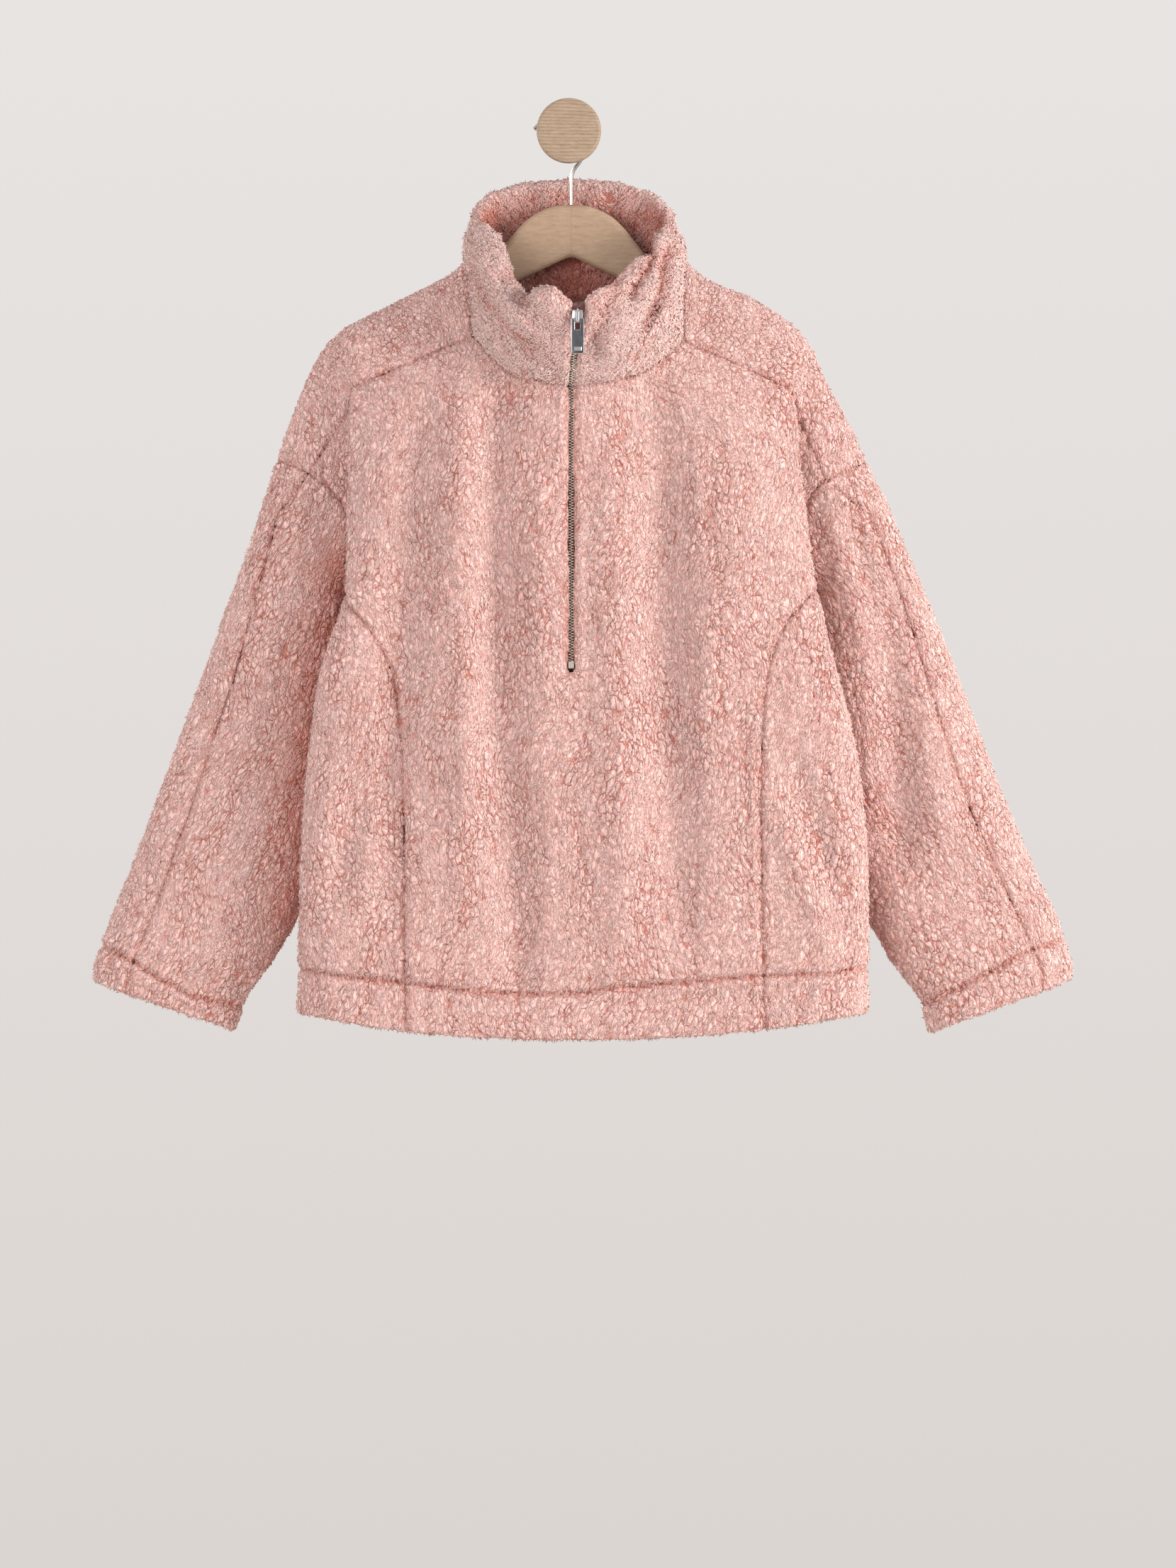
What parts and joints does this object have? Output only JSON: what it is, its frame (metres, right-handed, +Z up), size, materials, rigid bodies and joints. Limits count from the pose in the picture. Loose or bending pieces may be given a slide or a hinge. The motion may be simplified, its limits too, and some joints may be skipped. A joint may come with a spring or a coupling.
{
  "type": "sherpa fleece pullover on a wooden hanger with a wall peg",
  "caption": "Loose sherpa fleece pullover with a stand collar and half zip, hung open-necked on a wooden hanger from a round wall peg.",
  "frame": {"origin": "where the middle of the peg's post meets the wall, on the wall's face", "axes": "+Z up, +X to the right as seen from the front, the garment's front faces -Y and the wall's face is the plane y = 0"},
  "size_m": [0.886, 0.1248, 0.8487],
  "materials": {
    "fleece": "curly sherpa pile, matte",
    "beech": "pale, satin",
    "steel_wire": "bright wire",
    "zip_metal": "antique silver, polished",
    "zip_tape": "woven, matte"
  },
  "bodies": {
    "pullover": {"back": "fleece", "collar": "fleece", "front": "fleece", "hanger": "beech", "hook": "steel_wire", "peg_disc": "beech", "peg_post": "beech", "side_left": "fleece", "side_right": "fleece", "sleeve_back_left": "fleece", "sleeve_back_right": "fleece", "sleeve_front_left": "fleece", "sleeve_front_right": "fleece", "slider": "zip_metal", "zip_chain": "zip_metal", "zip_stop": "zip_metal", "zip_tape_left": "zip_tape", "zip_tape_right": "zip_tape"},
    "pull_tab": {"pull_tab": "zip_metal"}
  },
  "joints": [
    {"name": "pull_tab_hinge", "type": "hinge", "parent": "pullover", "child": "pull_tab", "pos_m": [0.0079, -0.1219, -0.1726], "axis": [-1, 0, 0], "range_deg": [-8, 150]}
  ]
}
